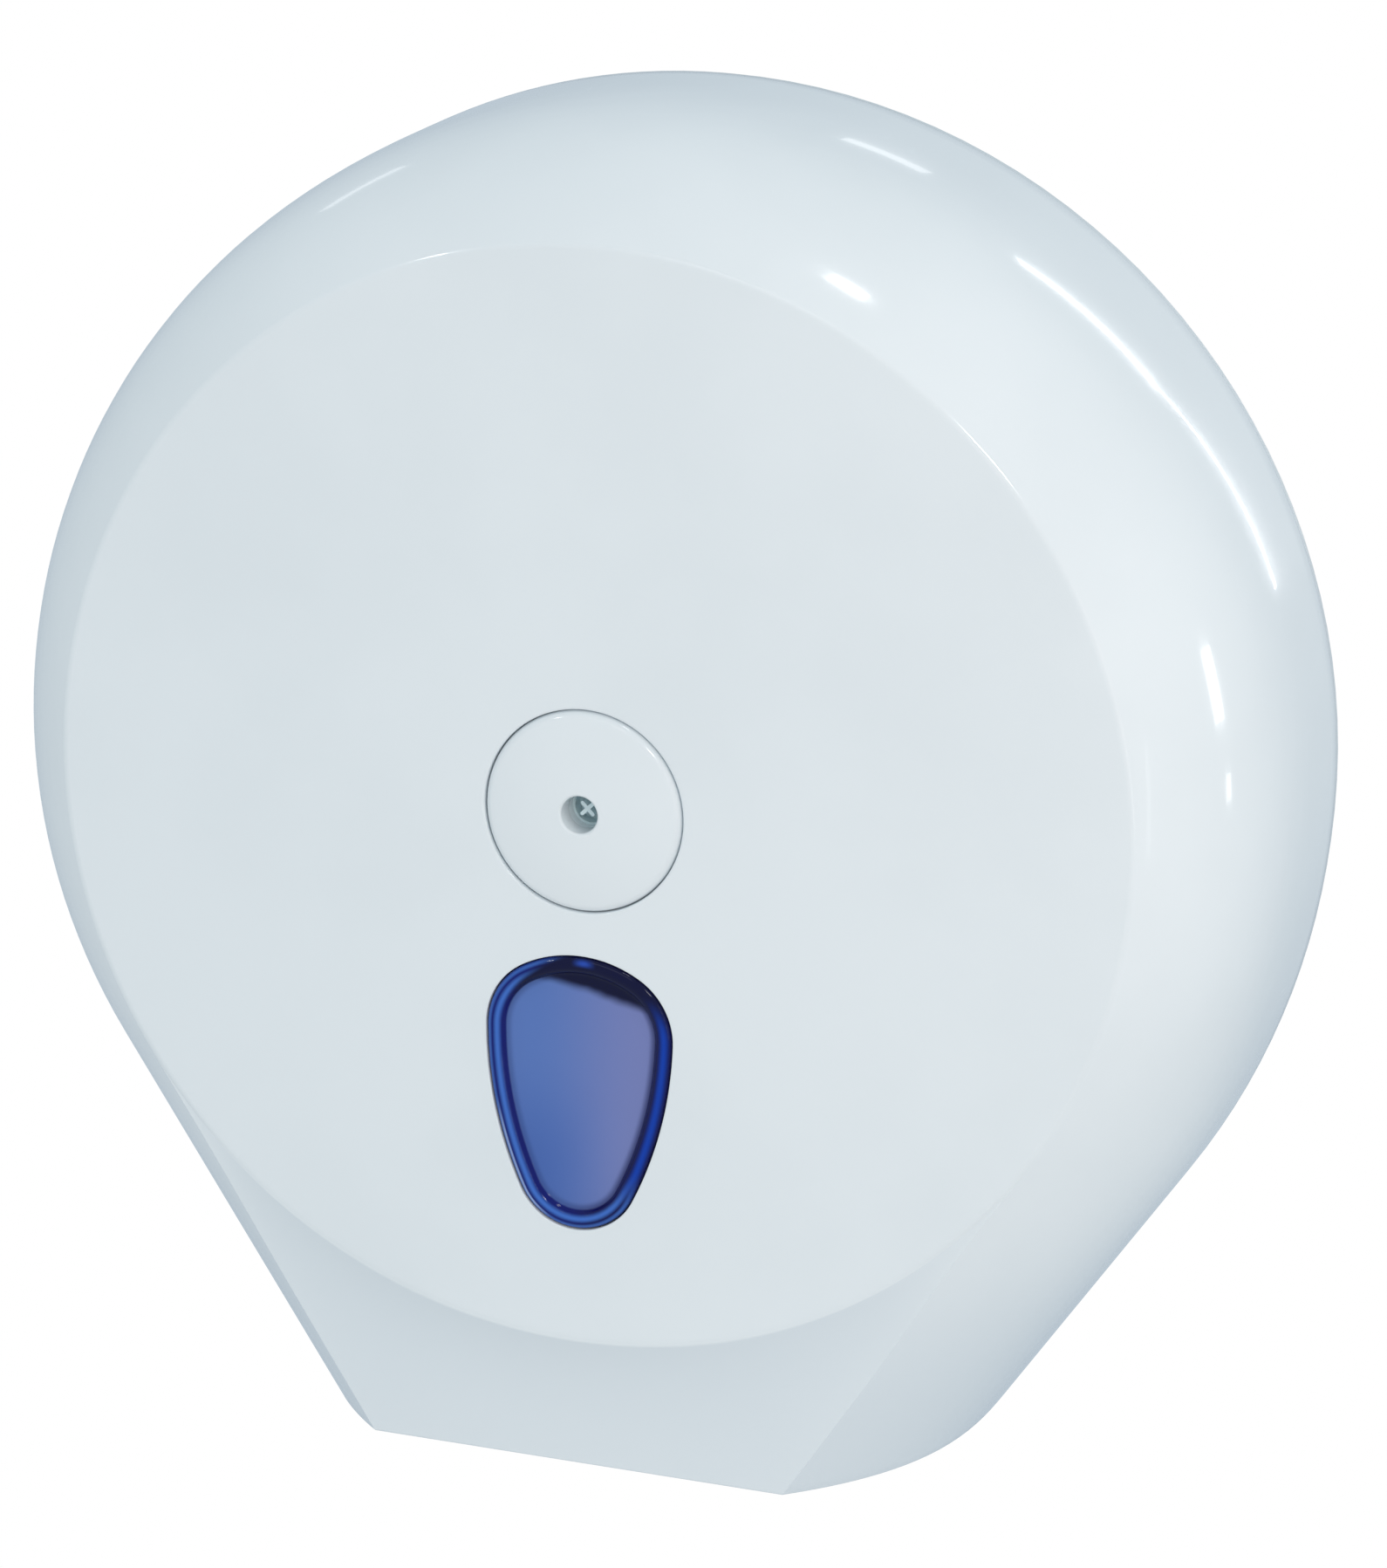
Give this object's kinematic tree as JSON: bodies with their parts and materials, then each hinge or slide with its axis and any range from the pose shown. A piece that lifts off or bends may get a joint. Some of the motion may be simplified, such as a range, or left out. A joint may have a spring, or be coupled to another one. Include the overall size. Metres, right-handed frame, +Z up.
{
  "type": "jumbo toilet roll dispenser",
  "caption": "Wall-hung round dispenser for a jumbo toilet roll, with a hinged cover, key lock, tinted window and turning core hub.",
  "frame": {"origin": "on the wall plane, at the centre of the four wall holes, which is also the centre of the cover's round outline", "axes": "+Z up, front of the dispenser towards -Y, wall behind at y = 0, +X to the right seen from the front"},
  "size_m": [0.345, 0.1053, 0.354],
  "materials": {
    "cover_plastic": "glossy bluish white moulded plastic",
    "plate_plastic": "satin bluish white moulded plastic",
    "inner_plastic": "plain pale grey moulded plastic",
    "hub_plastic": "plain grey moulded plastic",
    "rotor_plastic": "pale grey moulded plastic",
    "bush_plastic": "natural bearing plastic",
    "window_plastic": "clear blue tinted moulded plastic",
    "zinc_steel": "zinc plated steel",
    "spring_steel": "dark spring steel",
    "stainless": "brushed stainless strip",
    "felt": "grey felt"
  },
  "bodies": {
    "back": {"back_plate": "plate_plastic", "spindle_post": "inner_plastic", "post_screws": "zinc_steel", "keeper_cap": "inner_plastic", "keeper_screws": "zinc_steel", "brake_washer": "felt", "hub_circlip": "spring_steel", "hinge_pins": "zinc_steel"},
    "hub": {"core_hub": "hub_plastic", "hub_flange": "hub_plastic", "rear_bush": "bush_plastic", "front_bush": "bush_plastic"},
    "cover": {"cover_shell": "cover_plastic", "window_lens": "window_plastic", "window_clips": "spring_steel", "lock_plate": "cover_plastic", "lock_housing": "inner_plastic", "housing_screws": "zinc_steel", "detent_spring": "spring_steel", "rotor_clip": "spring_steel", "tear_bar": "stainless", "tear_bar_screws": "zinc_steel"},
    "lock": {"lock_rotor": "rotor_plastic", "lock_tongue": "zinc_steel", "tongue_screw": "zinc_steel"}
  },
  "joints": [
    {"name": "cover_hinge", "type": "hinge", "parent": "back", "child": "cover", "pos_m": [0, -0.016, -0.1725], "axis": [1, 0, 0], "range_deg": [0, 90]},
    {"name": "lock_turn", "type": "hinge", "parent": "cover", "child": "lock", "pos_m": [0, -0.09, -0.0016], "axis": [0, 1, 0], "range_deg": [0, 90]},
    {"name": "hub_spin", "type": "hinge", "parent": "back", "child": "hub", "pos_m": [0, -0.046, -0.0016], "axis": [0, 1, 0], "continuous": true}
  ]
}
